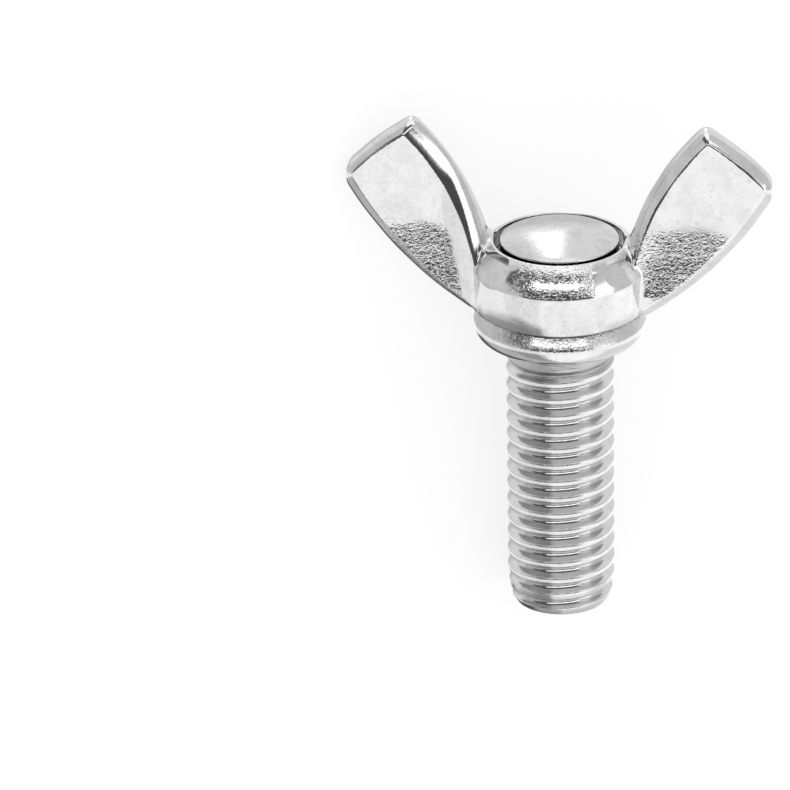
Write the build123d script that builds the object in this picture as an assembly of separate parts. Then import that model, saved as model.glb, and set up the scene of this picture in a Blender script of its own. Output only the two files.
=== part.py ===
"""A riveted wing screw, M6 x 16, in two pieces.

threaded_stud  a turned stud: thread, a collar that seats on the work, and a shank that
               goes up through the head and is spread into a domed rivet.
wing_head      a forged head: a round hub with two wings. It sits on the collar, and the
               rivet in its recess holds it, so that the two pieces turn as one.

Each piece is drawn about the screw's own axis, Z, head upwards, with the face where the
head meets the collar at z = 0 and the wings along X. Both are then laid down together, as
the screw comes to rest on a flat surface: on the collar, the end of the thread and one
wing. The finished frame has that surface at z = 0 and the head towards +Y.
"""

import os
from math import asin, atan2, cos, degrees, hypot, radians, sin, tan

from build123d import *

# Thread, in millimetres. It is drawn as a plain cylinder of its outer diameter.
THREAD_DIAMETER = 6.0
THREAD_LENGTH = 16.0            # from under the collar to the tip
TIP_FLAT_DIAMETER = 5.1
TIP_CHAMFER_HEIGHT = 0.45
NECK_FILLET = 0.25              # where the thread meets the collar

# Collar under the head.
COLLAR_DIAMETER = 9.6
COLLAR_THICKNESS = 1.9
COLLAR_ROUNDING = 1.0           # of the lower edge
COLLAR_TOP_DIAMETER = 8.75      # where a sloping shoulder meets the head
COLLAR_SHOULDER_HEIGHT = 0.72
COLLAR_SHOULDER_ROUNDING = 0.4

# Shank and domed rivet that hold the head.
SHANK_DIAMETER = 5.8
RIVET_GAP = 0.32                # between the rivet and the wall of the recess
RIVET_EDGE_HEIGHT = 1.15        # above the floor of the recess
RIVET_DOME_RISE = 0.5

# Hub of the wing head.
HUB_DIAMETER = 9.7
HUB_HEIGHT = 4.05
HUB_WALL_HEIGHT = 2.45          # of the straight wall; a cone leads from it to the rim
HUB_BOTTOM_CHAMFER = 0.25
RIM_DIAMETER = 7.8
RIM_DROP = 0.04                 # the rim's flat falls outwards by this much
HUB_CONE_BULGE = 0.1
RECESS_DIAMETER = 7.26
RECESS_DEPTH = 1.2

# Wings. Heights are above the collar.
WING_SPAN = 24.4                # over the outer corners, before they are rounded
WING_HEIGHT = 11.05             # of the inner corners, before they are rounded
WING_END_WIDTH = 5.4
WING_END_LEAN = 39.5            # degrees by which the end falls outwards
WING_INNER_BULGE = 0.65
WING_OUTER_BULGE = 0.72
WING_END_BULGE = 0.12
WING_OUTER_ROUNDING = 1.2       # of the outer corner, on the middle plane
WING_INNER_ROUNDING = 0.4       # of the inner corner, there
WING_FACE_ROUNDING = 0.1        # of both corners, on the faces of the blank
WING_TIP_THICKNESS = 2.1
WING_WAIST_THICKNESS = 1.76
WING_WAIST_HEIGHT = 6.3
WING_ROOT_THICKNESS = 2.6       # of the blank, too
WING_ROOT_HEIGHT = 1.2          # where the waist has flared out to it
WING_INNER_CROWN = 0.53         # by which the rounded rim stands out past the faces
WING_OUTER_CROWN = 0.6          # where they are hollowed deepest, at the waist
WING_END_CROWN = 0.32
WING_ROOT_INSET = 0.25          # the inner edge enters the hub this far inside the rim
WING_ROOT_DEPTH = 0.85          # and ends this far below its top
WING_ROOT_DROP = 0.25           # the outer edge hangs this far below the hub, beside the collar

OVERRUN = 1.0                   # by which a tool or a blank runs past what it meets
WALL_SHARE = 0.9                # the most of the collar's straight wall that a rounding takes
ROLL_HALVINGS = 24              # steps in finding how far the screw rolls on to its wing


def turned(corners, roundings, *arcs):
    """A profile in the XZ plane, spun about Z; roundings maps a corner to its radius."""
    profile = make_face(Curve() + [Polyline(*corners, close=not arcs), *arcs])
    for corner, radius in roundings.items():
        profile = fillet(profile.vertices().sort_by_distance(corner)[0], radius)
    return revolve(Plane.XZ * profile, Axis.Z)


def make_stud():
    """The turned stud, from the tip of the thread to the domed rivet."""
    thread_radius = THREAD_DIAMETER / 2
    collar_radius = COLLAR_DIAMETER / 2
    rivet_radius = RECESS_DIAMETER / 2 - RIVET_GAP
    tip = -COLLAR_THICKNESS - THREAD_LENGTH
    floor = HUB_HEIGHT - RECESS_DEPTH
    edge = floor + RIVET_EDGE_HEIGHT
    apex = edge + RIVET_DOME_RISE
    straight_wall = COLLAR_THICKNESS - COLLAR_ROUNDING - COLLAR_SHOULDER_HEIGHT
    shoulder_turn = atan2(collar_radius - COLLAR_TOP_DIAMETER / 2, COLLAR_SHOULDER_HEIGHT)
    shoulder_limit = WALL_SHARE * straight_wall / abs(tan(shoulder_turn / 2))
    corners = [
        (0, apex),
        (0, tip),
        (TIP_FLAT_DIAMETER / 2, tip),
        (thread_radius, tip + TIP_CHAMFER_HEIGHT),
        (thread_radius, -COLLAR_THICKNESS),
        (collar_radius, -COLLAR_THICKNESS),
        (collar_radius, -COLLAR_SHOULDER_HEIGHT),
        (COLLAR_TOP_DIAMETER / 2, 0),
        (SHANK_DIAMETER / 2, 0),
        (SHANK_DIAMETER / 2, floor),
        (rivet_radius, floor),
        (rivet_radius, edge),
    ]
    roundings = {
        (thread_radius, -COLLAR_THICKNESS): NECK_FILLET,
        (collar_radius, -COLLAR_THICKNESS): COLLAR_ROUNDING,
        (collar_radius, -COLLAR_SHOULDER_HEIGHT): min(COLLAR_SHOULDER_ROUNDING, shoulder_limit),
    }
    dome_radius = (rivet_radius**2 + RIVET_DOME_RISE**2) / (2 * RIVET_DOME_RISE)
    dome = RadiusArc((rivet_radius, edge), (0, apex), -dome_radius)
    return turned(corners, roundings, dome)


def make_hub():
    """The round hub, whole: its hole and recess are cut once the wings are on."""
    hub_radius = HUB_DIAMETER / 2
    wall_top = (hub_radius, HUB_WALL_HEIGHT)
    rim_edge = (RIM_DIAMETER / 2, HUB_HEIGHT - RIM_DROP)
    corners = [
        rim_edge,
        (RECESS_DIAMETER / 2, HUB_HEIGHT),
        (0, HUB_HEIGHT),
        (0, 0),
        (hub_radius - HUB_BOTTOM_CHAMFER, 0),
        (hub_radius, HUB_BOTTOM_CHAMFER),
        wall_top,
    ]
    return turned(corners, {}, SagittaArc(rim_edge, wall_top, HUB_CONE_BULGE))


def make_stud_room():
    """What is cut away for the stud: a hole for the shank, a recess for the rivet, and the
    ends of the wings' roots over the collar."""
    upward = (Align.CENTER, Align.CENTER, Align.MIN)
    depth = WING_ROOT_DROP + OVERRUN
    hole = Cylinder(SHANK_DIAMETER / 2, HUB_HEIGHT, align=upward)
    recess = Cylinder(RECESS_DIAMETER / 2, RECESS_DEPTH + OVERRUN, align=upward)
    collar = Cylinder(HUB_DIAMETER / 2, depth, align=upward)
    return hole + Pos(0, 0, HUB_HEIGHT - RECESS_DEPTH) * recess + Pos(0, 0, -depth) * collar


def crossing(start, along, other_start, other_along):
    """The point where two lines cross in a plane, each given by a point and a direction."""
    reach = (other_start - start).cross(other_along).Z / along.cross(other_along).Z
    return start + along * reach


def wing_outline(share):
    """The outline of the wing along +X as a face, its x and y being the screw's X and Z.

    share runs from 0 on the middle plane, where the outline is largest, to 1 on the faces
    of the blank: the crown of the rounded rim draws the outline in by as much.
    """
    waists = share * (WING_ROOT_THICKNESS / WING_WAIST_THICKNESS) ** 2
    lean = radians(WING_END_LEAN)
    end_along = Vector(cos(lean), -sin(lean))
    inner_root = Vector(RIM_DIAMETER / 2 - WING_ROOT_INSET, HUB_HEIGHT - WING_ROOT_DEPTH)
    outer_root = Vector(HUB_DIAMETER / 2, -WING_ROOT_DROP)
    outer_tip = Vector(WING_SPAN / 2, WING_HEIGHT - WING_END_WIDTH * sin(lean))
    inner_tip = outer_tip - end_along * WING_END_WIDTH
    inner_along = (inner_tip - inner_root).normalized()
    outer_along = (outer_tip - outer_root).normalized()

    inner_root += inner_along.rotate(Axis.Z, -90) * WING_INNER_CROWN * waists
    outer_root += outer_along.rotate(Axis.Z, 90) * WING_OUTER_CROWN * waists
    end_start = inner_tip + end_along.rotate(Axis.Z, -90) * WING_END_CROWN * waists
    inner_tip = crossing(end_start, end_along, inner_root, inner_along)
    outer_tip = crossing(end_start, end_along, outer_root, outer_along)
    heel = SHANK_DIAMETER / 2 - OVERRUN
    outline = make_face(Curve() + [
        SagittaArc(inner_root, inner_tip, WING_INNER_BULGE),
        SagittaArc(inner_tip, outer_tip, WING_END_BULGE),
        SagittaArc(outer_tip, outer_root, WING_OUTER_BULGE),
        Polyline(outer_root, (heel, outer_root.Y), (heel, inner_root.Y), inner_root),
    ])
    for corner, rounding in ((inner_tip, WING_INNER_ROUNDING), (outer_tip, WING_OUTER_ROUNDING)):
        rounding += (WING_FACE_ROUNDING - rounding) * share
        outline = fillet(outline.vertices().sort_by_distance(corner)[0], rounding)
    return outline


def make_wing():
    """The wing along +X: a blank with crowned edges, its faces then hollowed to a waist."""
    tip = WING_TIP_THICKNESS / 2
    waist = WING_WAIST_THICKNESS / 2
    root = WING_ROOT_THICKNESS / 2
    middle = Plane.XZ
    blank = loft([middle.offset(side * root) * wing_outline(abs(side)) for side in (-1, 0, 1)])

    top = WING_HEIGHT + OVERRUN
    bottom = -WING_ROOT_DROP - OVERRUN
    flare = TangentArc((waist, WING_WAIST_HEIGHT), (root, WING_ROOT_HEIGHT), tangent=(0, -1))
    upper = TangentArc((waist, WING_WAIST_HEIGHT), (tip, top), tangent=(0, 1))
    foot = Line((root, WING_ROOT_HEIGHT), (root, bottom))
    flank = Curve() + [flare, upper, foot]
    ends = [Line((-root, bottom), (root, bottom)), Line((-tip, top), (tip, top))]
    section = make_face(Curve() + [flank, mirror(flank, Plane.YZ), *ends])
    return blank & extrude(Plane.YZ * section, WING_SPAN)


def make_wing_head():
    """The forged head: hub and wings in one piece."""
    wing = make_wing()
    hub = make_hub()
    head = hub + wing + mirror(wing, Plane.YZ)
    return head - make_stud_room()


def floor_tilt():
    """The angle of the screw's axis to the surface it lies on, in degrees.

    The end of the thread always touches. Towards the head, whichever circle asks for the
    steepest line touches too: the rounded edge of the collar, or an edge of the hub.
    """
    thread_end = TIP_CHAMFER_HEIGHT - COLLAR_THICKNESS - THREAD_LENGTH
    collar_rounding_centre = COLLAR_DIAMETER / 2 - COLLAR_ROUNDING
    circles = [
        (collar_rounding_centre, COLLAR_ROUNDING - COLLAR_THICKNESS, COLLAR_ROUNDING),
        (HUB_DIAMETER / 2, HUB_BOTTOM_CHAMFER, 0),
        (HUB_DIAMETER / 2, HUB_WALL_HEIGHT, 0),
    ]
    angles = []
    for radius, height, rounding in circles:
        out = radius - THREAD_DIAMETER / 2
        along = height - thread_end
        angles.append(atan2(out, along) + asin(rounding / hypot(out, along)))
    return degrees(max(angles))


def lowest(shape):
    return shape.bounding_box().min.Z


def lay_down(stud, head):
    """The placement of the whole screw at rest on z = 0, its head towards +Y."""
    tipped = Rot(X=floor_tilt() - 90)
    surface = lowest(tipped * stud)
    clear, sunk = 0.0, 90.0
    for _ in range(ROLL_HALVINGS):
        roll = (clear + sunk) / 2
        if lowest(tipped * Rot(Z=-roll) * head) > surface:
            clear = roll
        else:
            sunk = roll
    placed = tipped * Rot(Z=-clear)
    box = (placed * Compound([stud, head])).bounding_box()
    return Pos(-box.center().X, -box.center().Y, -surface) * placed


stud = make_stud()
head = make_wing_head()
at_rest = lay_down(stud, head)
os.makedirs("parts", exist_ok=True)
export_step(at_rest * stud, "parts/threaded_stud.step")
export_step(at_rest * head, "parts/wing_head.step")
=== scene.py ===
# %% [markdown]
# A wing screw is two pieces of stainless steel. A turned stud carries an M6 thread, a
# rounded collar and a shank, which goes up through a forged head and is spread there into
# a domed rivet. The head is a round hub with two wings for the fingers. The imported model
# gives both pieces their sizes and their place. This lesson gives them the thread, the
# soft blends of a forging and a polished, partly pebbled skin.

import bpy
import numpy as np
from mathutils import Matrix, Vector


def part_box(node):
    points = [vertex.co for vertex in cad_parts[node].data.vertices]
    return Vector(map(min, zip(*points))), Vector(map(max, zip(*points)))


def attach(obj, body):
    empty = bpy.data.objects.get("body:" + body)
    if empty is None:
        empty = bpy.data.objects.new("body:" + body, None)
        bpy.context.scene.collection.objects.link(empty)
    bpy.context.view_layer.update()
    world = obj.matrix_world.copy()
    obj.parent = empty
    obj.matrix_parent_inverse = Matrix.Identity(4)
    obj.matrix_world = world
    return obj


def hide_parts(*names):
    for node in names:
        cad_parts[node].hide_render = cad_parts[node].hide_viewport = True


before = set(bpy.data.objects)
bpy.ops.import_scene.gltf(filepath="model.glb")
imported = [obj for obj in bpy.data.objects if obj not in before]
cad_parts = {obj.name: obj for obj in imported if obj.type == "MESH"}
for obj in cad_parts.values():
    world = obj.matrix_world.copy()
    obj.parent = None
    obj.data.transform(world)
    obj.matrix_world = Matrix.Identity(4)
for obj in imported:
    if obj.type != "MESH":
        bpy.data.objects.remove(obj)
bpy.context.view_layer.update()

# %% [markdown]
# Everything is drawn about the screw's own axis, in millimetres, as a maker would draw it:
# Z along the axis towards the head, the wings along X, and z = 0 where the head meets the
# collar. These are the sizes that both the shapes and the finishes go by.

# %% Sizes of the stud
THREAD_RADIUS = 3.0
THREAD_LENGTH = 16.0
PITCH = 1.0
TIP_RADIUS = 2.55
TIP_CHAMFER = 0.45
NECK_FILLET = 0.25
COLLAR_RADIUS = 4.8
COLLAR_THICKNESS = 1.9
COLLAR_ROUNDING = 1.0
COLLAR_TOP_RADIUS = 4.4
SHOULDER_HEIGHT = 0.72
SHOULDER_ROUNDING = 0.4
SHANK_RADIUS = 2.9
RIVET_GAP = 0.32
RIVET_EDGE = 1.15
RIVET_DOME = 0.5

print("the stud is", THREAD_LENGTH, "mm long under a collar", 2 * COLLAR_RADIUS, "mm across")

# %% Sizes of the head
HUB_RADIUS = 4.85
HUB_HEIGHT = 4.05
HUB_WALL = 2.45
RIM_RADIUS = 3.9
RIM_DROP = 0.1
RECESS_RADIUS = 3.63
RECESS_DEPTH = 1.2
WING_SPAN = 24.4
WING_HEIGHT = 11.05
WING_END = 5.4
WING_LEAN = np.radians(39.5)
WING_HALF_WAIST = 0.88
WING_HALF_TIP = 1.05
WING_HALF_ROOT = 1.3
WAIST_HEIGHT = 6.3
TIP_HEIGHT = 12.05
ROOT_HEIGHT = 1.2

print("the head's hub is", 2 * HUB_RADIUS, "mm across, and its wings span", WING_SPAN, "mm")

# %% [markdown]
# The finished screw lies on a flat surface, on its collar, the end of its thread and one
# wing, so the drawing is tipped, rolled and moved. The tip and the roll are the two angles
# at which such a screw comes to rest. The move puts the collar's rounded edge on the
# surface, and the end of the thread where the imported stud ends.

# %% How the screw lies
TIP_OVER = np.radians(6.2275)
ROLL = np.radians(25.645)
MILLIMETRE = 0.001

tip_end = -COLLAR_THICKNESS - THREAD_LENGTH
cos_roll, sin_roll = np.cos(ROLL), np.sin(ROLL)
cos_tip, sin_tip = np.cos(TIP_OVER), np.sin(TIP_OVER)
rolled = np.array([[cos_roll, sin_roll, 0], [-sin_roll, cos_roll, 0], [0, 0, 1]])
tipped = np.array([[1, 0, 0], [0, sin_tip, cos_tip], [0, -cos_tip, sin_tip]])
turned = tipped @ rolled
ring_radius = COLLAR_RADIUS - COLLAR_ROUNDING
ring_height = COLLAR_ROUNDING - COLLAR_THICKNESS
far_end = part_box("threaded_stud")[0][1] / MILLIMETRE
moved = np.array([
    0.0,
    far_end - tip_end * cos_tip + TIP_RADIUS * sin_tip,
    COLLAR_ROUNDING + ring_radius * cos_tip - ring_height * sin_tip,
])


def laid_down(points):
    """Points of the drawing, in millimetres, where they lie, in metres: turned, then moved."""
    return (points @ turned.T + moved) * MILLIMETRE


print("the joint between collar and head is centred at", laid_down(np.zeros(3)))

# %% [markdown]
# Two kinds of skin are needed. What was turned on a lathe is a grid: its rows run down the
# profile and its columns run round the axis.

# %% A skin from rings
def add_piece(name, points, faces, normals=None):
    """A smooth-shaded mesh object at the origin, its points given in the drawing's frame."""
    mesh = bpy.data.meshes.new(name)
    mesh.from_pydata(laid_down(points), [], faces)
    mesh.shade_smooth()
    if normals is not None:
        mesh.normals_split_custom_set_from_vertices(normals @ turned.T)
    mesh.update()
    piece = bpy.data.objects.new(name, mesh)
    bpy.context.scene.collection.objects.link(piece)
    triangles = sum(len(face) - 2 for face in faces)
    print(name, "has", len(points), "points and", triangles, "triangles")
    return piece


def ring_skin(rings):
    """Points and faces of a closed skin over rings[row, column], whose end rows are poles.

    Row r, column c is joined to row r + 1 and to column c + 1, counted round the ring.
    """
    rows, columns = rings.shape[:2]
    body = rings[1:-1].reshape(-1, 3)
    points = np.vstack([rings[0, :1], body, rings[-1, :1]])
    index = 1 + np.arange((rows - 2) * columns).reshape(rows - 2, columns)
    after = np.roll(index, -1, axis=1)
    quads = np.stack([index[:-1], index[1:], after[1:], after[:-1]], axis=-1).reshape(-1, 4)
    last = len(points) - 1
    first_fan = np.stack([np.zeros(columns, int), index[0], after[0]], axis=-1)
    last_fan = np.stack([np.full(columns, last), after[-1], index[-1]], axis=-1)
    faces = quads.tolist() + first_fan.tolist() + last_fan.tolist()
    return points, faces


# %% [markdown]
# What was forged has no such grid, because several forms melt into one. It is described by
# a level, a function of place that is negative inside the metal, and a net is drawn over
# the places where it is zero. The net comes out evenly meshed, whatever forms meet in it,
# and the slope of the level gives it exact normals.

# %% Points that settle on the zero of a level
SLOPE_REACH = 0.004
LEAST_SLOPE = 0.5
LONGEST_STEP = 0.1


def gradient(level, points):
    """The slope of a level at each point, from its values a little to either side."""
    slope = np.empty_like(points)
    for axis in range(3):
        aside = np.zeros(3)
        aside[axis] = SLOPE_REACH
        slope[:, axis] = (level(points + aside) - level(points - aside)) / (2 * SLOPE_REACH)
    return slope


def settle(level, points, steps):
    """Moves points on to the zero of a level: p - level * slope / |slope|^2, a few times."""
    for _ in range(steps):
        slope = gradient(level, points)
        size = np.maximum((slope**2).sum(axis=1), LEAST_SLOPE**2)
        share = np.clip(level(points) / size, -LONGEST_STEP, LONGEST_STEP)
        points = points - slope * share[:, None]
    return points


# %% [markdown]
# The net starts as one point in each small cube of space that the zero passes through. A
# table of cases for the ways in which a cube can be cut would be the usual choice, but it
# leaves slivers. This way gives four-sided faces of about one size, and a few rounds of
# pulling every point to the middle of its neighbours spread them evenly.

# %% A net over a level
def sampled(level, axes, slabs=12):
    """The level at every crossing of three axes, worked out slab by slab to save memory."""
    rows = []
    for x in np.array_split(axes[0], slabs):
        places = np.stack(np.meshgrid(x, axes[1], axes[2], indexing="ij"), axis=-1)
        rows.append(level(places.reshape(-1, 3)))
    return np.concatenate(rows).reshape([len(axis) for axis in axes])


def crossed_cubes(inside):
    """Which cubes have some corners inside and some outside."""
    x, y, z = np.array(inside.shape) - 1
    filled = sum(
        inside[i:i + x, j:j + y, k:k + z].astype(int)
        for i in (0, 1) for j in (0, 1) for k in (0, 1)
    )
    return (filled > 0) & (filled < 8)


def crossing_faces(inside, number):
    """One four-sided face for each cube edge with one end inside, between the numbers of
    the four cubes round it, in the order that makes the face look out of the metal."""
    back = np.eye(3, dtype=int)
    faces = []
    for axis in range(3):
        one, two = (axis + 1) % 3, (axis + 2) % 3
        here = np.take(inside, range(inside.shape[axis] - 1), axis)
        there = np.take(inside, range(1, inside.shape[axis]), axis)
        edges = np.argwhere(here != there)
        around = [edges - back[one] - back[two], edges - back[two], edges, edges - back[one]]
        quads = np.stack([number[tuple(cell.T)] for cell in around], axis=-1)
        leaving = here[tuple(edges.T)]
        faces.append(np.where(leaving[:, None], quads, quads[:, ::-1]))
    return np.concatenate(faces)


def spread(level, points, faces, rounds=6):
    """Moves each point halfway to the mean of its neighbours and back on to the zero."""
    corners = [faces[:, [corner, (corner + 1) % 4]] for corner in range(4)]
    sides = np.concatenate(corners)
    shared = np.bincount(sides[:, 0], minlength=len(points))[:, None]
    for _ in range(rounds):
        middle = np.stack([
            np.bincount(sides[:, 0], points[sides[:, 1], axis], len(points)) for axis in range(3)
        ], axis=-1) / shared
        points = settle(level, points + 0.5 * (middle - points), 2)
    return points


def net_skin(level, low, high, step):
    """Points, faces and normals of the zero of a level between two corners.

    Space is cut into cubes. Each cube that the zero passes through has one point, and each
    cube edge that it crosses has one face. The points are then settled and spread evenly.
    """
    axes = [np.arange(start, end + step, step) for start, end in zip(low, high)]
    inside = sampled(level, axes) < 0
    crossed = crossed_cubes(inside)
    number = np.full(crossed.shape, -1)
    number[crossed] = np.arange(crossed.sum())
    faces = crossing_faces(inside, number)
    points = np.array(low) + (np.argwhere(crossed) + 0.5) * step
    points = spread(level, settle(level, points, 6), faces)
    slope = gradient(level, settle(level, points, 3))
    return points, faces.tolist(), slope / np.linalg.norm(slope, axis=1)[:, None]


# %% [markdown]
# The stud's thread is rolled. Seen along the axis it is a groove of 60 degrees with a
# narrow rounded crest and a bevelled root, and it climbs one pitch in a turn, as a
# right-hand thread does. It could be a profile swept along a helix, but such a sweep has
# to be trimmed where the thread runs out under the collar and where the tip is chamfered.
# Here the radius is a function of the height and of the angle, so the run-out is a depth
# that fades, and the chamfer is only a smaller radius.

# %% The thread as a radius
CREST_WIDTH = 0.27
FLANK = np.radians(30)
ROOT_BEVEL_DEPTH = 0.4
ROOT_BEVEL_SLOPE = 1 / 3
GROOVE_DEPTH = 0.49
SOFTNESS = 0.03
CREST_START = -4.39
FULL_DEPTH_BELOW = -3.7
PLAIN_ABOVE = -2.5


def soft_step(value, low, high):
    """0 at low, 1 at high, and 3t^2 - 2t^3 between them; high may be the lower number."""
    t = np.clip((value - low) / (high - low), 0, 1)
    return t * t * (3 - 2 * t)


def soft_floor(value, softness):
    """max(value, 0) with its corner eased: (v + sqrt(v^2 + s^2)) / 2."""
    return (value + np.sqrt(value**2 + softness**2)) / 2


def thread_radius(height, angle):
    """The radius less the groove's depth, measured from the nearest crest of the helix: a
    flank of 30 degrees to the radius, then a bevel of 60 degrees, then the flat root."""
    phase = (height - CREST_START - PITCH * angle / (2 * np.pi)) / PITCH
    from_crest = np.abs(phase - np.round(phase)) * PITCH - CREST_WIDTH / 2
    flank = from_crest / np.tan(FLANK)
    bevel = ROOT_BEVEL_DEPTH + (flank - ROOT_BEVEL_DEPTH) * ROOT_BEVEL_SLOPE
    depth = soft_floor(flank, SOFTNESS)
    depth = depth - soft_floor(depth - bevel, SOFTNESS)
    depth = depth - soft_floor(depth - GROOVE_DEPTH, SOFTNESS)
    fade = 1 - soft_step(height, FULL_DEPTH_BELOW, PLAIN_ABOVE)
    return THREAD_RADIUS - depth * fade


one_turn = thread_radius(np.linspace(tip_end / 2, tip_end / 2 + PITCH, 50), 0)
print("the thread's radius runs from", one_turn.min().round(3), "to", one_turn.max().round(3))

# %% [markdown]
# Above the thread the stud is plain turning, so a profile is enough: a shallow dome with a
# rounded lip, the shank inside the head, the sloping shoulder and the round underside of
# the collar, and a fillet into the neck. The profile and the thread go round the axis in
# the same columns, and so they make one closed skin.

# %% The profile above the thread
LIP_ROUNDING = 0.1
LIP_SINK = 0.01
LIP_START = 78
TOP_EDGE = 0.02


def arc(centre, radius, start, end, steps):
    """Points of a round stretch of profile: centre + radius * (cos a, sin a), a in degrees."""
    angle = np.radians(np.linspace(start, end, steps))
    return np.array(centre) + radius * np.stack([np.cos(angle), np.sin(angle)], axis=-1)


def rivet_profile():
    """The domed rivet and the shank, as (radius, height): the dome's radius is that of a
    circle through its edge whose top stands RIVET_DOME above it."""
    floor = HUB_HEIGHT - RECESS_DEPTH
    edge = floor + RIVET_EDGE
    rivet = RECESS_RADIUS - RIVET_GAP
    dome = (rivet**2 + RIVET_DOME**2) / (2 * RIVET_DOME)
    spread_angle = np.degrees(np.arcsin(rivet / dome))
    top = arc((0, edge + RIVET_DOME - dome), dome, 90, 90 - spread_angle, 40)
    lip_centre = (rivet - LIP_ROUNDING, edge - LIP_ROUNDING - LIP_SINK)
    lip = arc(lip_centre, LIP_ROUNDING, LIP_START, 0, 7)
    shank = [(rivet, floor), (SHANK_RADIUS, floor), (SHANK_RADIUS, 0)]
    return np.vstack([top[:-3], lip, shank])


def collar_profile():
    """The collar, from its top edge down to the neck, as (radius, height)."""
    slope = np.degrees(np.arctan2(COLLAR_RADIUS - COLLAR_TOP_RADIUS, SHOULDER_HEIGHT))
    down = SHOULDER_HEIGHT + SHOULDER_ROUNDING * np.tan(np.radians(slope / 2))
    top_edge = arc((COLLAR_TOP_RADIUS - TOP_EDGE, -TOP_EDGE), TOP_EDGE, 90, slope, 4)
    shoulder = arc((COLLAR_RADIUS - SHOULDER_ROUNDING, -down), SHOULDER_ROUNDING, slope, 0, 10)
    under = arc((ring_radius, ring_height), COLLAR_ROUNDING, 0, -90, 40)
    neck_centre = (THREAD_RADIUS + NECK_FILLET, -COLLAR_THICKNESS - NECK_FILLET)
    neck = arc(neck_centre, NECK_FILLET, 90, 180, 10)
    return np.vstack([top_edge, shoulder, under, neck])


print("the profile has", len(rivet_profile()) + len(collar_profile()), "points")

# %% The whole stud
LEAD_RADIUS = 2.84
LEAD_TAPER = 0.1


def make_stud(columns=144, rows_per_pitch=35, tip_rows=10):
    """The profile spun about the axis, then the thread down to the chamfer, then the tip.

    The thread's radius is the smallest of three: its own, a slight taper up from
    LEAD_RADIUS at the chamfer, and the chamfer.
    """
    angle = np.linspace(0, 2 * np.pi, columns, endpoint=False)
    above = np.vstack([rivet_profile(), collar_profile()])
    count = int(rows_per_pitch * THREAD_LENGTH / PITCH)
    heights = np.linspace(above[-1, 1], tip_end, count)[1:, None]
    chamfer = TIP_RADIUS + (heights - tip_end) * (LEAD_RADIUS - TIP_RADIUS) / TIP_CHAMFER
    lead = LEAD_RADIUS + (heights - tip_end - TIP_CHAMFER) * LEAD_TAPER
    threaded = np.minimum(np.minimum(thread_radius(heights, angle), lead), chamfer)
    inward = np.linspace(1, 0, tip_rows)[1:, None]
    radius = np.vstack([np.repeat(above[:, :1], columns, axis=1), threaded,
                        inward * threaded[-1]])
    height = np.vstack([above[:, 1:], heights, np.full_like(inward, tip_end)])
    height = np.repeat(height, columns, axis=1)
    rings = np.stack([radius * np.cos(angle), radius * np.sin(angle), height], axis=-1)
    return ring_skin(rings)


stud = add_piece("threaded_stud_skin", *make_stud())
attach(stud, "root")
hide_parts("threaded_stud")

# %% [markdown]
# The head is forged, so nothing on it is quite sharp. Its level is made of simple forms
# that are joined or cut with a rounded corner of a chosen radius, which stands in for the
# soft fillets that the dies leave.

# %% Rounded corners between levels
def rounded_cut(first, second, radius):
    """What is inside both, its outer corner rounded: max(a, b), and near the corner the
    distance from a centre that lies radius inside both sides."""
    a = np.maximum(first + radius, 0)
    b = np.maximum(second + radius, 0)
    return np.minimum(np.maximum(first, second), -radius) + np.hypot(a, b)


def rounded_join(first, second, radius):
    """What is inside either, its inner corner filled to a radius: the same, inside out."""
    return -rounded_cut(-first, -second, radius)


def inside_arc(x, z, start, end, bulge):
    """The distance out of the circle through two points whose arc stands bulge outside the
    straight line between them; the metal lies to the right of the way from start to end."""
    start, end = np.array(start), np.array(end)
    chord = np.linalg.norm(end - start)
    radius = (chord**2 / 4 + bulge**2) / (2 * bulge)
    along = (end - start) / chord
    inward = np.array([along[1], -along[0]])
    centre = (start + end) / 2 + inward * (radius - bulge)
    return np.hypot(x - centre[0], z - centre[1]) - radius


# %% [markdown]
# The hub is a round with a straight wall, a bulging cone above it and a rim that falls
# outwards. Two details came after the forging: the flash at the foot was trimmed away,
# which left a chamfer that is wide at the front left and narrow elsewhere, and the
# polishing belt left a faint flat on the cone to either side of the middle.

# %% The hub
CONE_BULGE = 0.1
RIM_ROUNDING = 0.3
WALL_ROUNDING = 0.06
FOOT_ROUNDING = 0.2
BOTTOM_ROUNDING = 0.05
FLATS = ((np.radians(-50), 5.34), (np.radians(50), 5.445))
FLAT_RISE = np.radians(31.0)
FOOT_SLOPE = np.radians(15.0)
FOOT_CHAMFER = 0.15
FOOT_TRIM = 0.5
TRIM_LEFT_END = np.radians([-75, -40])
TRIM_RIGHT_END = np.radians([-3, -27])


def foot_chamfer(bearing):
    """The chamfer's height at each bearing: narrow, and wider where it was trimmed."""
    trimmed = soft_step(bearing, *TRIM_LEFT_END) * soft_step(bearing, *TRIM_RIGHT_END)
    return FOOT_CHAMFER + FOOT_TRIM * trimmed


def cone_level(x, y, z):
    """The cone as an arc spun about the axis, cut by two planes; a plane is at its distance
    from the origin, along a line at its bearing that rises at FLAT_RISE."""
    rim_edge = (RIM_RADIUS, HUB_HEIGHT - RIM_DROP)
    cone = inside_arc(np.hypot(x, y), z, rim_edge, (HUB_RADIUS, HUB_WALL), CONE_BULGE)
    for bearing, distance in FLATS:
        outward = x * np.sin(bearing) - y * np.cos(bearing)
        plane = outward * np.cos(FLAT_RISE) + z * np.sin(FLAT_RISE) - distance
        cone = np.maximum(cone, plane)
    return cone


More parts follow.
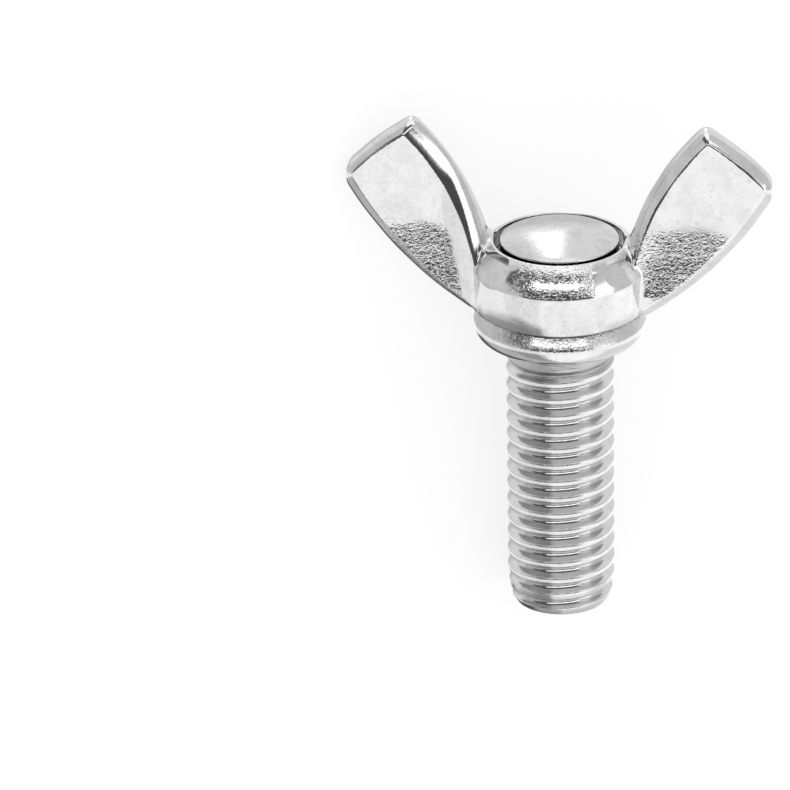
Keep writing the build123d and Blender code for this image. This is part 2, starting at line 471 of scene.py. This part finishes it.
def hub_level(x, y, z):
    """The hub before its recess: what lies inside its cone, rim, wall, foot and bottom."""
    radius = np.hypot(x, y)
    wall = radius - HUB_RADIUS
    fall = np.arctan2(RIM_DROP, RIM_RADIUS - RECESS_RADIUS)
    rim = (z - HUB_HEIGHT) * np.cos(fall) + (radius - RECESS_RADIUS) * np.sin(fall)
    foot_height = foot_chamfer(np.arctan2(x, -y))
    foot = wall * np.cos(FOOT_SLOPE) + (foot_height - z) * np.sin(FOOT_SLOPE)
    hub = rounded_cut(cone_level(x, y, z), rim, RIM_ROUNDING)
    hub = rounded_cut(hub, wall, WALL_ROUNDING)
    hub = rounded_cut(hub, foot, FOOT_ROUNDING)
    return rounded_cut(hub, -z, BOTTOM_ROUNDING)


print("the foot's chamfer is up to", foot_chamfer(TRIM_RIGHT_END).max().round(2), "mm high")

# %% [markdown]
# A wing is what lies inside three wide arcs and between two faces. Its rim bulges, because
# the arcs are drawn in the more the further one goes from the middle of its thickness. Its
# faces are hollowed to a waist, and next to the hub they flare out once more, as a root
# that carries the load does. The left wing's inner rim is rounder and its flare a little
# wider. A wing ends well inside the hub, where nothing of it shows.

# %% The wings
ROOT_INSET = 0.25
ROOT_DEPTH = 0.85
ROOT_DROP = 0.35
INNER_BULGE = 0.65
END_BULGE = 0.22
OUTER_BULGE = 0.72
CROWN_INNER = 0.7
CROWN_INNER_LEFT = 0.92
CROWN_OUTER = 0.66
CROWN_END = 0.46
OUTER_CORNER = (1.2, 0.2)
INNER_CORNER = (0.6, 0.1)
EDGE = 0.06
HIDDEN_END = 2.0
HIDDEN_ROUNDING = 0.1
FLARE_HALF = 0.99
FLARE_SLOPE = 0.5
FLARE_START = 5.35
FLARE_START_LEFT = 5.85
FLARE_SOFTNESS = 0.22


def half_thickness(x, z, right):
    """Half the wing's thickness: from the waist it grows with the square of the way to the
    tip and to the root, and it is at least that of the flare, which grows towards the hub."""
    above = np.clip((z - WAIST_HEIGHT) / (TIP_HEIGHT - WAIST_HEIGHT), 0, None)
    below = np.clip((WAIST_HEIGHT - z) / (WAIST_HEIGHT - ROOT_HEIGHT), 0, 1)
    half = WING_HALF_WAIST + (WING_HALF_TIP - WING_HALF_WAIST) * above**2
    half = half + (WING_HALF_ROOT - WING_HALF_WAIST) * below**2
    flare_start = np.where(right, FLARE_START, FLARE_START_LEFT)
    flare = FLARE_HALF + FLARE_SLOPE * (flare_start - x)
    return half + soft_floor(flare - half, FLARE_SOFTNESS)


def corner_rounding(y, on_middle, on_face):
    """A corner's radius, which shrinks evenly from the middle plane to 1 mm off it."""
    return on_middle + (on_face - on_middle) * np.clip(np.abs(y), 0, 1)


def wing_level(x, y, z, right):
    """A wing along +X: what lies inside its inner, end and outer arcs, each drawn in by its
    crown times the square of the way to the face, and between the faces."""
    inner_root = (RIM_RADIUS - ROOT_INSET, HUB_HEIGHT - ROOT_DEPTH)
    outer_root = (HUB_RADIUS, -ROOT_DROP)
    outer_tip = (WING_SPAN / 2, WING_HEIGHT - WING_END * np.sin(WING_LEAN))
    inner_tip = (outer_tip[0] - WING_END * np.cos(WING_LEAN), WING_HEIGHT)
    half = half_thickness(x, z, right)
    across = (y / half) ** 2
    inner_crown = np.where(right, CROWN_INNER, CROWN_INNER_LEFT)
    inner = inside_arc(x, z, inner_root, inner_tip, INNER_BULGE) + inner_crown * across
    end = inside_arc(x, z, inner_tip, outer_tip, END_BULGE) + CROWN_END * across
    outer = inside_arc(x, z, outer_tip, outer_root, OUTER_BULGE) + CROWN_OUTER * across
    outline = rounded_cut(end, outer, corner_rounding(y, *OUTER_CORNER))
    outline = rounded_cut(outline, inner, corner_rounding(y, *INNER_CORNER))
    outline = rounded_cut(outline, HIDDEN_END - x, HIDDEN_ROUNDING)
    return rounded_cut(outline, np.abs(y) - half, EDGE)


waist = 2 * half_thickness(WING_SPAN / 2, WAIST_HEIGHT, True)
print("a wing is", waist.round(2), "mm thick at its waist")

# %% [markdown]
# A forging that was ground by hand isn't quite even, and polished metal shows it, because
# its reflections waver. It could be a displacement painted on the mesh, but a few sine
# waves in chance directions, about a hundredth of a millimetre high, can be added to the
# level, and the normals follow them. The wide faces and rims of the wings show it most,
# so only the wings are given it. The seed is fixed, so every run gives the same head.

# %% The unevenness of a hand finish
UNEVEN_HEIGHT = 0.012
UNEVEN_WAVES = 9
UNEVEN_LENGTHS = (1.6, 4.0)

chance = np.random.default_rng(7)
wave_ways = chance.normal(size=(UNEVEN_WAVES, 3))
wave_ways /= np.linalg.norm(wave_ways, axis=1)[:, None]
wave_ways *= 2 * np.pi / chance.uniform(*UNEVEN_LENGTHS, size=(UNEVEN_WAVES, 1))
wave_starts = chance.uniform(0, 2 * np.pi, UNEVEN_WAVES)


def unevenness(points):
    """The sum of sin(point . way + start) over the waves, scaled to the chosen height."""
    waves = sum(np.sin(points @ way + start) for way, start in zip(wave_ways, wave_starts))
    return waves * UNEVEN_HEIGHT / np.sqrt(UNEVEN_WAVES)


longest = 2 * np.pi / np.linalg.norm(wave_ways, axis=1).min()
print("the longest of the", UNEVEN_WAVES, "waves is", longest.round(2), "mm long")

# %% [markdown]
# Hub and wings are joined with a small fillet that widens to a saddle where a wing's inner
# rim runs into the hub's rim. Then the recess, the hole for the shank and the room of the
# collar are cut away. Each wing is one form mirrored in x, told only which side it is on.

# %% The whole head
NET_STEP = 0.082
HEAD_LOW = (-12.4, -5.2, -0.6)
HEAD_HIGH = (12.4, 5.2, 11.4)
JOIN_FILLET = 0.2
SADDLE_FILLET = 0.6
SADDLE_HEIGHTS = (3.2, 4.0)
SADDLE_HALF_WIDTH = 0.9
RECESS_ROUNDING = 0.05
COLLAR_ROOM = 0.02
MOUTH_ROUNDING = 0.2


def head_level(points):
    """Hub and wings joined, less the recess, the hole for the shank and the collar's room."""
    x, y, z = points.T
    radius = np.hypot(x, y)
    wings = wing_level(np.abs(x), y, z, x > 0) + unevenness(points)
    saddle = soft_step(z, *SADDLE_HEIGHTS) * (1 - np.clip(y / SADDLE_HALF_WIDTH, -1, 1) ** 2)
    whole = rounded_join(hub_level(x, y, z), wings, JOIN_FILLET + SADDLE_FILLET * saddle)
    floor = HUB_HEIGHT - RECESS_DEPTH
    recess = rounded_cut(radius - RECESS_RADIUS, floor - z, RECESS_ROUNDING)
    collar = rounded_cut(radius - HUB_RADIUS - COLLAR_ROOM, z, COLLAR_ROOM)
    room = np.minimum(np.minimum(recess, radius - SHANK_RADIUS), collar)
    return rounded_cut(whole, -room, MOUTH_ROUNDING)


head = add_piece("wing_head_skin", *net_skin(head_level, HEAD_LOW, HEAD_HIGH, NET_STEP))
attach(head, "root")
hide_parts("wing_head")

# %% [markdown]
# A finish is a tree of nodes. Most of it is arithmetic, which reads better as arithmetic,
# so a small class stands for one output in a tree and turns +, -, * and ** into Math
# nodes. Every other node comes from one method.

# %% Node arithmetic
class Signal:
    """One number coming out of a node, on which sums can be written."""

    def __init__(self, tree, socket):
        self.tree = tree
        self.socket = socket

    def maths(self, operation, *values):
        """A Math node's result, over these values or signals."""
        return self.tree.node("ShaderNodeMath", {"operation": operation}, dict(enumerate(values)))

    def __add__(self, other):
        return self.maths("ADD", self, other)

    def __sub__(self, other):
        return self.maths("SUBTRACT", self, other)

    def __mul__(self, other):
        return self.maths("MULTIPLY", self, other)

    def __rsub__(self, other):
        return self.maths("SUBTRACT", other, self)

    def __pow__(self, other):
        return self.maths("POWER", self, other)

    def __neg__(self):
        return self.maths("MULTIPLY", self, -1.0)

    def __abs__(self):
        return self.maths("ABSOLUTE", self)

    __radd__ = __add__
    __rmul__ = __mul__

    def ramp(self, low, high):
        """0 at low, 1 at high, eased between them; high may be the lower number."""
        inputs = {0: self, 1: low, 2: high}
        if high < low:
            inputs = {0: self, 1: high, 2: low, 3: 1.0, 4: 0.0}
        return self.tree.node("ShaderNodeMapRange", {"interpolation_type": "SMOOTHSTEP"}, inputs)

    def band(self, start, full, last, end):
        """0 before start, 1 from full to last and 0 after end, eased between them."""
        return self.ramp(start, full) * self.ramp(end, last)


# %% A tree that is filled by calls
class Finish:
    """A node tree that is filled by calls, each of which gives back what comes out."""

    def __init__(self, owner):
        owner.use_nodes = True
        self.tree = owner.node_tree
        self.tree.nodes.clear()

    def node(self, kind, settings=None, inputs=None, output=0):
        """Adds a node, sets it up, feeds its sockets and returns one of its outputs."""
        node = self.tree.nodes.new(kind)
        for name, value in (settings or {}).items():
            setattr(node, name, value)
        for key, value in (inputs or {}).items():
            if isinstance(value, Signal):
                self.tree.links.new(value.socket, node.inputs[key])
            else:
                node.inputs[key].default_value = value
        return Signal(self, node.outputs[output]) if node.outputs else None

    def dot(self, vector, direction):
        """How far a vector reaches along a direction."""
        settings = {"operation": "DOT_PRODUCT"}
        return self.node("ShaderNodeVectorMath", settings, {0: vector, 1: tuple(direction)}, "Value")

    def vector(self, *parts):
        """Three numbers as one vector."""
        return self.node("ShaderNodeCombineXYZ", None, dict(enumerate(parts)))

    def drawing_place(self):
        """The place on the screw, in the drawing's frame, in millimetres: its three parts."""
        place = self.node("ShaderNodeTexCoord", output="Object")
        shift = tuple(moved * MILLIMETRE)
        place = self.node("ShaderNodeVectorMath", {"operation": "SUBTRACT"}, {0: place, 1: shift})
        return [self.dot(place, turned[:, axis] / MILLIMETRE) for axis in range(3)]

    def mix(self, share, first, second):
        """A colour between two, by a share from 0 to 1."""
        inputs = {0: share, 6: first, 7: second}
        return self.node("ShaderNodeMix", {"data_type": "RGBA"}, inputs, 2)

    def noise(self, place, scale, detail, roughness, distortion=0.0):
        """Soft chance values around 0.5; a scale of 1 makes blots about 1 mm wide."""
        inputs = {"Vector": place, "Scale": scale, "Detail": detail,
                  "Roughness": roughness, "Distortion": distortion}
        return self.node("ShaderNodeTexNoise", None, inputs, 0)


def bearing_of(x, y):
    """The bearing about the axis, in radians from the front, -Y, and positive to the right."""
    return x.maths("ARCTAN2", x, -y)


# %% [markdown]
# Both pieces are the same stainless steel, so one function makes both materials. It is
# handed a look, which is a function that gives the colour, the roughness and the height
# of the skin. The height goes into a bump and not into the mesh, because the pebbles are
# hundredths of a millimetre deep.

# %% Polished steel
BRIGHT = (0.78, 0.78, 0.785, 1.0)
WORN = (0.76, 0.76, 0.765, 1.0)
CLOUDED = (0.64, 0.64, 0.645, 1.0)
ROLLED = (0.52, 0.52, 0.525, 1.0)
PITTED = (0.42, 0.42, 0.425, 1.0)
# This colour is the duller skin of scuffed and trimmed steel, and also painted shade on the neck and
# on the groove left of the front.
DULL_AND_SHADE = (0.36, 0.36, 0.365, 1.0)
# This colour is painted shade, laid in the gaps round the rivet and between head and collar.
DEEP_SHADE = (0.1, 0.1, 0.1, 1.0)
GRAIN_SCALE = 11.0
# The painted shade in the gaps is laid only where they face the front and the sides.
SEEN_FROM_FRONT = (2.1, 1.6)


def steel(name, look):
    """Metal whose colour, roughness and height over the skin are given by a look."""
    material = bpy.data.materials.new(name)
    finish = Finish(material)
    colour, rough, height = look(finish, *finish.drawing_place())
    bump = finish.node("ShaderNodeBump", None, {"Height": height * MILLIMETRE, "Distance": 1.0})
    shader = finish.node("ShaderNodeBsdfPrincipled", None, {
        "Base Color": colour, "Metallic": 1.0, "Roughness": rough, "Normal": bump})
    finish.node("ShaderNodeOutputMaterial", None, {"Surface": shader})
    print(name, "is made of", len(finish.tree.nodes), "nodes")
    return material


# %% [markdown]
# The turned stud is smooth and bright, with faint pebbles on the collar's shoulder and
# the dome. The groove of the thread keeps the duller skin that it was rolled with, more so
# on its lower flank; to the left of the front it is darker still, which is painted shade.
# The neck keeps the streaks of the lathe, and it is darker partly for the rolled skin of
# its run-out and partly for painted shade under the collar. The gaps round the rivet and
# below the head are laid with painted shade. A painted picture would need the mesh to be
# unrolled. Shares worked out from the place on the screw don't, and they follow the
# sizes. A share is 1 where a thing is, 0 where it isn't, and eased between them.

# %% The stud's skin
BELOW_COLLAR = (0.02 - COLLAR_THICKNESS, -0.1 - COLLAR_THICKNESS)
COLLAR_HEIGHTS = (-1.95, -1.85, 0.0, 0.1)
SHOULDER_HEIGHTS = (-0.85, -0.75, 0.0, 0.1)
NECK_HEIGHTS = (-3.5, -3.2, -2.1, -1.9)
# The groove's darker band to the left of the front is painted shade.
SHADE_AT_LEFT = (-0.85, -0.75, -0.15, -0.05)
SHOULDER_PEBBLES = 0.03
FAINT_PEBBLES = 0.003
STREAK_HEIGHT = 0.03


def thread_shares(x, y, z, radius):
    """The groove, the crest and the lower flank of the thread; a flank is found by the
    share of a pitch climbed since the last crest."""
    below_collar = z.ramp(*BELOW_COLLAR)
    angle = y.maths("ARCTAN2", y, x)
    turns = (z - CREST_START) * (1 / PITCH) - angle * (0.5 / np.pi)
    climbed = turns.maths("FRACT", turns)
    groove = below_collar * radius.ramp(2.96, 2.9)
    crest = below_collar * radius.ramp(2.93, 2.96)
    return groove, crest, groove * climbed.ramp(0.6, 0.64)


def stud_look(finish, x, y, z):
    """Worn steel, clouded on the dome and the shoulder and duller in the groove and on the
    neck. Painted shade darkens the neck under the collar, the groove to the left of the
    front, the gap round the rivet and the one below the head."""
    place = finish.vector(x, y, z)
    radius = (x * x + y * y) ** 0.5
    bearing = bearing_of(x, y)
    cloud = finish.noise(place, 1.3, 4.0, 0.65, 0.4)
    grain = finish.noise(place, GRAIN_SCALE, 3.0, 0.7)
    pebble = finish.noise(place, 7.0, 1.5, 0.6, 0.8)
    streaks = finish.noise(finish.vector(x * 0.5, y * 0.5, z * 3.0), 3.0, 2.0, 0.6)
    groove, crest, lower_flank = thread_shares(x, y, z, radius)
    # Painted shade: the groove is darkened to the left of the front, mottled by the pebble noise.
    shade_at_left = groove * bearing.band(*SHADE_AT_LEFT) * (0.25 + pebble * 0.35)
    # The neck's darker colour is partly its rolled, unpolished skin and partly painted shade under
    # the collar.
    neck = z.band(*NECK_HEIGHTS) * radius.ramp(3.3, 3.2)
    on_dome = z.ramp(3.9, 4.0)
    on_collar = z.band(*COLLAR_HEIGHTS)
    rubbed = z.ramp(-0.62, -0.5) * abs(bearing - 0.1).ramp(0.38, 0.3)
    on_shoulder = z.band(*SHOULDER_HEIGHTS) * (1.0 - rubbed * 0.85)
    # Painted shade in the gap round the rivet, at the front and the sides.
    recess_shade = z.band(2.7, 2.8, 3.6, 3.7) * radius.ramp(3.25, 3.3)
    recess_shade = recess_shade * abs(bearing).ramp(*SEEN_FROM_FRONT)
    # Painted shade in the narrow gap between the collar's top and the head.
    shade_below_head = z.band(-0.06, -0.02, 0.05, 0.1)
    bright = finish.mix(cloud.ramp(0.32, 0.66) * 0.7 + grain * 0.3, CLOUDED, WORN)
    clouded = on_dome * cloud.ramp(0.42, 0.62) * 0.7 + on_shoulder * 0.35
    bright = finish.mix(clouded, bright, ROLLED)
    # The neck's part of this mix is partly painted shade under the collar.
    colour = finish.mix(groove * 0.25 + lower_flank * 0.75 + neck * 0.7, bright, ROLLED)
    colour = finish.mix(neck * 0.25 + shade_at_left, colour, DULL_AND_SHADE)
    # Both gaps are laid over with painted shade.
    colour = finish.mix(recess_shade + shade_below_head, colour, DEEP_SHADE)
    rough = 0.06 + grain * 0.06 + cloud * 0.06 + lower_flank * 0.08 + neck * 0.22
    pebbled = on_dome * FAINT_PEBBLES + on_shoulder * SHOULDER_PEBBLES
    pebbled = pebbled + on_collar * FAINT_PEBBLES + FAINT_PEBBLES / 2
    height = (pebble - 0.5) * pebbled + grain * (0.001 + crest * 0.005)
    return colour, rough, height + streaks * neck * STREAK_HEIGHT


stud.data.materials.append(steel("stud_steel", stud_look))

# %% [markdown]
# The forging keeps the fine pebble of the dies where the polishing wheel doesn't reach:
# low on the wings' faces, and on the front of the hub's cone, but for a spot that was
# rubbed bright. Its foot is scuffed, and dull where it was trimmed. These shares are
# shifted by noise, so that no edge is a drawn line, as none is after a wheel.

# %% The head's skin
ON_HUB = (HUB_RADIUS + 0.15, HUB_RADIUS + 0.05)
PEBBLE_SCALE = 4.4
PEBBLE_HEIGHT = 0.055
PEBBLES_ON_WING_BELOW = (6.1, 5.3)
PEBBLES_ON_CONE = (HUB_WALL - 0.05, HUB_WALL + 0.01, HUB_HEIGHT - 0.15, HUB_HEIGHT - 0.05)
PEBBLES_AT_FRONT = (-0.56, -0.38, 0.53, 0.56)
RUBBED_AT_FRONT = (-0.35, -0.15, 0.3, 0.5)


def pebbles_on_wing(x, y, z, cloud, pebble):
    """Low on the wings' faces, from a slanting line by each root outwards."""
    low = (z + cloud * 1.2 + pebble * 0.8).ramp(*PEBBLES_ON_WING_BELOW)
    right_of_root = (x + z * 0.32 + cloud * 1.2).ramp(6.1, 6.3)
    left_of_root = (x + z * 0.22).ramp(-5.0, -5.2)
    return low * abs(y).ramp(0.7, 0.8) * (right_of_root + left_of_root)


def pebbles_on_cone(z, radius, bearing, cloud):
    """On the front of the cone, but few in the spot that was rubbed bright."""
    on_cone = z.band(*PEBBLES_ON_CONE) * radius.ramp(HUB_RADIUS + 0.1, HUB_RADIUS)
    rubbed = (z + cloud * 0.3).ramp(3.5, 3.3) * (z - cloud * 0.3).ramp(2.6, 2.75)
    rubbed = rubbed * bearing.band(*RUBBED_AT_FRONT)
    return on_cone * bearing.band(*PEBBLES_AT_FRONT) * (0.8 - rubbed * 0.74)


def trimmed_share(bearing, z, cloud):
    """Where the foot was trimmed: below the wide part of its chamfer."""
    wide = bearing.ramp(*TRIM_LEFT_END) * bearing.ramp(*TRIM_RIGHT_END)
    foot = wide * FOOT_TRIM + FOOT_CHAMFER
    return (foot - z + cloud * 0.16).ramp(0.0, 0.16) * foot.ramp(FOOT_CHAMFER, 0.6)


def head_look(finish, x, y, z):
    """Cloudy polish with pits and pebbles, and a scuffed foot, duller where it was trimmed.
    Painted shade darkens the gap round the rivet and the one above the collar."""
    place = finish.vector(x, y, z)
    radius = (x * x + y * y) ** 0.5
    bearing = bearing_of(x, y)
    cloud = finish.noise(place, 0.9, 4.0, 0.65, 0.4)
    grain = finish.noise(place, GRAIN_SCALE, 3.0, 0.7)
    pebble = finish.noise(finish.vector(x, y, z * 1.4), PEBBLE_SCALE, 1.0, 0.5, 0.9)
    pits = finish.noise(place, 6.0, 3.0, 0.75).ramp(0.56, 0.68)
    pebbled = pebbles_on_wing(x, y, z, cloud, pebble)
    pebbled = pebbled + pebbles_on_cone(z, radius, bearing, cloud)
    on_hub = radius.ramp(*ON_HUB)
    trimmed = trimmed_share(bearing, z, cloud) * on_hub
    scuffed = (z + cloud * 1.2).ramp(1.7, 0.8) * on_hub * grain.ramp(0.42, 0.58)
    # Painted shade in the crevice between the hub's underside and the collar.
    shade_above_collar = z.ramp(0.18, 0.1) * on_hub
    # Painted shade in the recess round the rivet, at the front and the sides.
    recess_shade = radius.ramp(RECESS_RADIUS + 0.03, RECESS_RADIUS - 0.01) * z.ramp(3.86, 3.7)
    recess_shade = recess_shade * abs(bearing).ramp(*SEEN_FROM_FRONT)
    colour = finish.mix(cloud.ramp(0.32, 0.66) * 0.65 + grain * 0.35, CLOUDED, BRIGHT)
    colour = finish.mix(pits * 0.5, colour, PITTED)
    colour = finish.mix(scuffed * 0.4, colour, DULL_AND_SHADE)
    colour = finish.mix(trimmed * (0.6 + grain * 0.4), colour, DULL_AND_SHADE)
    # Both gaps are laid over with painted shade.
    colour = finish.mix(shade_above_collar, colour, DEEP_SHADE)
    colour = finish.mix(recess_shade, colour, DEEP_SHADE)
    rough = 0.05 + grain * 0.05 + cloud * 0.06 + pebbled * 0.02 + trimmed * 0.15
    height = (pebble - 0.5) * (pebbled * PEBBLE_HEIGHT + 0.002) + grain * 0.0014
    return colour, rough, height


head.data.materials.append(steel("head_steel", head_look))

# %% [markdown]
# Polished metal shows the room, so the room is half of its look. Small bright metal looks
# its best in a tent of pale cloth, with a dark cloth hung in it so that the edges don't
# vanish. This tent has grey sides, a dark cloth in front with a white strip to its right,
# a bright roof, and boxes of light before the cloth, to the right and behind. It could be
# built from planes, but as shares of two angles it throws no shadow and is quick to
# change. The height of a ray is its angle above the plane across the screw's axis, and
# its bearing is its angle about that axis, both in degrees. A panel has a band of heights,
# a band of bearings and a strength. The roof's band of bearings is wider than the circle,
# so that it goes all round.

# %% The tent
TENT_GREY = 0.7
WALLS_LIGHTER = 0.25
STRIP_LIGHTER = 0.85
CLOTH_LIGHT = 0.08
CLOTH_LIGHTER_ABOVE = 0.04
UPPER_HEIGHTS = (17.0, 23.0)
MIDDLE_HEIGHTS = (-2.0, 5.0, 34.0, 40.0)
CLOTH_LEFT = (-52.0, -46.0)
CLOTH_LEFT_ABOVE = (-84.0, -78.0)
CLOTH_RIGHT = (46.0, 42.0)
RIGHT_FURTHER_IN = 10.0
RIGHT_FURTHER_OUT = 14.0
STRIP_RIGHT = (76.0, 70.0)
STRIP_TOP = (28.0, 22.0)
PANELS = {
    "roof": ((60.0, 68.0, 90.0, 91.0), (-200.0, -190.0, 180.0, 190.0), 1.25),
    "front box": ((26.5, 29.5, 37.0, 40.5), (-46.0, -42.0, 44.0, 48.0), 1.9),
    "right box": ((43.0, 46.0, 90.0, 91.0), (44.0, 48.0, 68.0, 72.0), 1.5),
    "back box": ((20.0, 30.0, 58.0, 66.0), (-183.5, -179.5, -173.0, -168.5), 1.9),
}


def laid_over(light, share, panel):
    """The light of a panel where its share is 1, and what is behind it where it is 0."""
    return light * (1 - share) + share * panel


def cloth_share(bearing, height, bent):
    """Where the cloth hangs: it reaches further to both sides in the upper heights, where
    its left edge grows sharper on the way up."""
    upper = height.ramp(*UPPER_HEIGHTS)
    left_edge = bearing.ramp(*CLOTH_LEFT) * (1 - upper) + bearing.ramp(*CLOTH_LEFT_ABOVE) * upper
    left_edge = left_edge * (1 - height.ramp(30.0, 40.0) * bearing.ramp(*CLOTH_LEFT_ABOVE[::-1]))
    return left_edge * (bent - upper * RIGHT_FURTHER_OUT).ramp(*CLOTH_RIGHT)


def tent_light(bearing, height):
    """The light above the ground: grey walls, lighter at the back, then the white strip,
    then the dark cloth, then each panel. In the middle heights the bearing is bent, so
    that the cloth's right edge and the strip beyond it stand further in."""
    bent = bearing + height.band(*MIDDLE_HEIGHTS) * RIGHT_FURTHER_IN
    strip = bent.ramp(*CLOTH_RIGHT[::-1]) * bearing.ramp(*STRIP_RIGHT) * height.ramp(*STRIP_TOP)
    left_wall = bearing.ramp(-105.0, -115.0) * height.ramp(8.0, 18.0)
    right_wall = bearing.ramp(112.0, 122.0)
    light = TENT_GREY + strip * STRIP_LIGHTER + (left_wall + right_wall) * WALLS_LIGHTER
    cloth = CLOTH_LIGHT + height.ramp(*UPPER_HEIGHTS) * CLOTH_LIGHTER_ABOVE
    light = laid_over(light, cloth_share(bearing, height, bent), cloth)
    for heights, bearings, strength in PANELS.values():
        light = laid_over(light, height.band(*heights) * bearing.band(*bearings), strength)
    return light


print("the tent's panels of light, in the order they are laid:", ", ".join(PANELS))

# %% [markdown]
# The ground is a white sheet that the round undersides mirror. Near the screw it isn't
# even: it is dimmer from the middle to the left, dimmer again low down at the left and at
# the sides, and the screw's own shadow lies on it at the back left.

# %% The ground
HORIZON = (-14.5, -18.5)
GROUND_LIGHT = 1.2
LOW_HEIGHTS = (-28.0, -35.0)
LEFT_OF_MIDDLE = (-25.0, -29.0)
LOW_LEFT = (-14.0, -32.0)
SIDES = (60.0, 80.0)
SHADOW_HEIGHTS = (-70.0, -60.0, -31.0, -26.0)
SHADOW_BEARINGS = (-125.0, -140.0)
SHADOW_DEPTH = 0.8


def ground_light(bearing, height):
    """The light of the sheet, changed by a step to the left, low down and at the sides."""
    left = bearing.ramp(*LEFT_OF_MIDDLE)
    low_left = bearing.ramp(*LOW_LEFT)
    sides = abs(bearing).ramp(*SIDES)
    shadow = height.band(*SHADOW_HEIGHTS) * bearing.ramp(*SHADOW_BEARINGS)
    low = 0.05 - sides * 0.4 - low_left * (0.68 - sides * 0.5)
    light = GROUND_LIGHT - left * 0.18 + sides * 0.1 + height.ramp(*LOW_HEIGHTS) * low
    return light * (1 - shadow * SHADOW_DEPTH)


# %% [markdown]
# The world is plain white to the eye and as a lamp, so that the floor is lit evenly. Only
# what metal mirrors, which is what a glossy ray finds, sees the tent. The tent faces the
# way that the camera looks from, a little to the right of the wings' front.

# %% The room
TENT_TURN = 6.8


def make_room():
    """A world whose strength depends on the way a ray looks and on the kind of ray."""
    world = bpy.data.worlds.new("room")
    bpy.context.scene.world = world
    room = Finish(world)
    way = room.node("ShaderNodeTexCoord", output="Generated")
    x, y, z = (room.dot(way, turned[:, axis]) for axis in range(3))
    degrees_per_radian = 180 / np.pi
    height = z.maths("ARCSINE", z) * degrees_per_radian
    bearing = bearing_of(x, y) * degrees_per_radian - TENT_TURN
    ground = height.ramp(*HORIZON)
    light = laid_over(tent_light(bearing, height), ground, ground_light(bearing, height))
    mirrored = room.node("ShaderNodeLightPath", output="Is Glossy Ray")
    strength = laid_over(1.0, mirrored, light)
    lamp = room.node("ShaderNodeBackground", None, {
        "Color": (1.0, 1.0, 1.0, 1.0), "Strength": strength})
    room.node("ShaderNodeOutputWorld", None, {"Surface": lamp})
    print("the room is made of", len(room.tree.nodes), "nodes")


make_room()

# %% [markdown]
# The floor only has to carry the screw's soft shadow. It is fairly dark, so that it throws
# little light back up, and it glows for the camera alone, which lifts it to white. The
# metal doesn't mirror it, because the tent has its own ground.

# %% The floor
FLOOR_COLOUR = (0.3, 0.3, 0.3, 1.0)
FLOOR_GLOW = 0.73


def make_floor(half=0.6):
    """A square of the chosen half width at the height that the screw lies at."""
    mesh = bpy.data.meshes.new("floor")
    corners = [(-half, -half, 0), (half, -half, 0), (half, half, 0), (-half, half, 0)]
    mesh.from_pydata(corners, [], [(0, 1, 2, 3)])
    floor = bpy.data.objects.new("floor", mesh)
    bpy.context.scene.collection.objects.link(floor)
    material = bpy.data.materials.new("floor")
    finish = Finish(material)
    seen = finish.node("ShaderNodeLightPath", output="Is Camera Ray")
    shader = finish.node("ShaderNodeBsdfPrincipled", None, {
        "Base Color": FLOOR_COLOUR, "Roughness": 0.9, "Specular IOR Level": 0.0,
        "Emission Color": (1.0, 1.0, 1.0, 1.0), "Emission Strength": seen * FLOOR_GLOW})
    finish.node("ShaderNodeOutputMaterial", None, {"Surface": shader})
    mesh.materials.append(material)
    floor.visible_glossy = False
    print("the floor is", 2 * half, "m wide")


make_floor()

# %% [markdown]
# The camera looks at the screw as one would hold it up: from in front of the wings, a
# little to the right and from above the head. Since the screw lies down, that is a view
# from almost straight above. A long lens at half a metre keeps its lines nearly parallel.

# %% The camera
LOOK_DOWN = np.radians(24.5)
LOOK_FROM_RIGHT = np.radians(6.76)
LEAN = np.radians(0.35)
DISTANCE = 500.0
LENS = 410.0
SENSOR = 36.0
AIM_HEIGHT = -4.0
AIM_LEFT = 9.18
AIM_BELOW = 1.42


def make_camera():
    """Stands DISTANCE from the axis, aims left of and below the screw's middle, and leans
    its picture by LEAN. Its axes are worked out in the drawing's frame, then turned."""
    flat = np.array([np.sin(LOOK_FROM_RIGHT), -np.cos(LOOK_FROM_RIGHT), 0])
    back = flat * np.cos(LOOK_DOWN) + np.array([0, 0, np.sin(LOOK_DOWN)])
    level = np.array([np.cos(LOOK_FROM_RIGHT), np.sin(LOOK_FROM_RIGHT), 0])
    upright = np.cross(back, level)
    right = level * np.cos(LEAN) - upright * np.sin(LEAN)
    up = upright * np.cos(LEAN) + level * np.sin(LEAN)
    middle = np.array([0, 0, AIM_HEIGHT])
    station = middle + back * DISTANCE
    aim = middle - right * AIM_LEFT - up * AIM_BELOW
    sight = (station - aim) / np.linalg.norm(station - aim)
    right = np.cross(up, sight)
    right /= np.linalg.norm(right)
    axes = np.stack([right, np.cross(sight, right), sight], axis=-1)
    placed = Matrix((turned @ axes).tolist()).to_4x4()
    placed.translation = Vector(laid_down(station))
    camera = bpy.data.objects.new("camera", bpy.data.cameras.new("camera"))
    bpy.context.scene.collection.objects.link(camera)
    camera.matrix_world = placed
    camera.data.lens = LENS
    camera.data.sensor_width = SENSOR
    camera.data.clip_start = 0.01
    bpy.context.scene.camera = camera
    print("the camera stands at", [round(part, 3) for part in placed.translation])


make_camera()
bpy.context.scene.view_settings.view_transform = "Standard"
